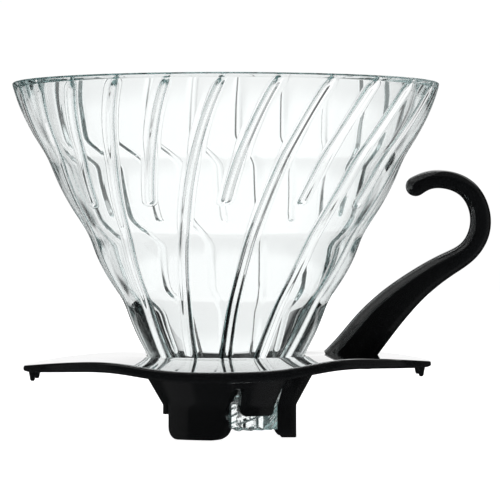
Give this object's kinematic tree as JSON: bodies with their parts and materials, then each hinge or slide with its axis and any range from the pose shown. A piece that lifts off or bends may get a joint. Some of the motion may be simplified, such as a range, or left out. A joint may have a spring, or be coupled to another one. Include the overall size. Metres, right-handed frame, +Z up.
{
  "type": "pour over coffee dripper",
  "caption": "Ribbed clear glass cone screwed into a black moulded base plate with hook handle, for brewing coffee over a mug or server.",
  "frame": {"origin": "middle of the footprint at the height of the long tabs' bottoms; the cone's axis lies at X = -0.007 m", "axes": "+X from the cone towards the handle's hook, +Y to the back, +Z up along the cone's axis"},
  "size_m": [0.1322, 0.118, 0.0977],
  "materials": {
    "glass": "clear fire-polished glass",
    "black_plastic": "gloss black moulded plastic",
    "silicone": "soft matt silicone"
  },
  "bodies": {
    "base": {"base_plate": "black_plastic", "handle": "black_plastic"},
    "ring": {"seat_ring": "silicone"},
    "cone": {"glass_cone": "glass"}
  },
  "joints": [
    {"name": "cone_turn", "type": "hinge", "parent": "base", "child": "ring", "pos_m": [-0.00713, 0, 0.0205], "axis": [0, 0, 1], "range_deg": [0, 270]},
    {"name": "cone_lift", "type": "slide", "parent": "ring", "child": "cone", "axis": [0, 0, 1], "range_m": [0, 0.0226]}
  ],
  "couplings": [
    {"joint": "cone_lift", "follows": "cone_turn", "m_per_rad": 0.0047746}
  ]
}
